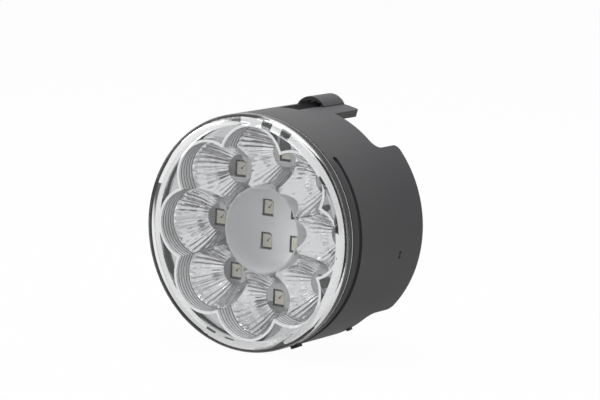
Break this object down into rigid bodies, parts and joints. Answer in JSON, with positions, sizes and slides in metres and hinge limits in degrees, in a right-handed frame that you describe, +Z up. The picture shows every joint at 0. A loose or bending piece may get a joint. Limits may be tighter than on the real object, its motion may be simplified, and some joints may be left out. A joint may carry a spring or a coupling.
{
  "type": "vehicle indicator lamp",
  "caption": "Round clear-lens vehicle indicator lamp: fluted chrome cups around a satin centre, LEDs on one board, dark barrel housing with rear ears, hooded top slot and rear plug socket.",
  "frame": {"origin": "on the lamp axis, in the plane where the lens rim is widest", "axes": "+Y along the lamp axis to the rear, the lens faces -Y, +Z up with the hooded slot on top, +X to the right seen from the front"},
  "size_m": [0.09, 0.0579, 0.0932],
  "materials": {
    "lens_clear": "clear polycarbonate, polished",
    "seal": "matte black joint",
    "housing_plastic": "satin dark grey moulded plastic",
    "reflector_metal": "bright metallised plastic with a satin centre",
    "board": "dark solder mask",
    "led_body": "pale moulded package",
    "screw_steel": "zinc plated",
    "contact_metal": "tin plated",
    "ferrite": "dark ferrite",
    "chip_plastic": "black moulded package",
    "capacitor_body": "tan ceramic",
    "socket_plastic": "black moulded plastic",
    "vent_plastic": "matte black"
  },
  "bodies": {
    "root": {"lens": "lens_clear", "lens_seal": "seal", "housing": "housing_plastic", "reflector": "reflector_metal", "led_board": "board", "breather_vent": "vent_plastic", "drive_coil": "ferrite", "plug_socket": "socket_plastic", "drive_chip": "chip_plastic", "input_diode": "chip_plastic", "capacitor_1": "capacitor_body", "capacitor_2": "capacitor_body", "indicator_led_1": "led_body", "indicator_led_2": "led_body", "indicator_led_3": "led_body", "indicator_led_4": "led_body", "indicator_led_5": "led_body", "indicator_led_6": "led_body", "indicator_led_7": "led_body", "indicator_led_8": "led_body", "position_led_1": "led_body", "position_led_2": "led_body", "position_led_3": "led_body", "position_led_4": "led_body", "board_screws": "screw_steel", "contact_1": "contact_metal", "contact_2": "contact_metal", "contact_3": "contact_metal", "contact_4": "contact_metal"}
  },
  "joints": []
}
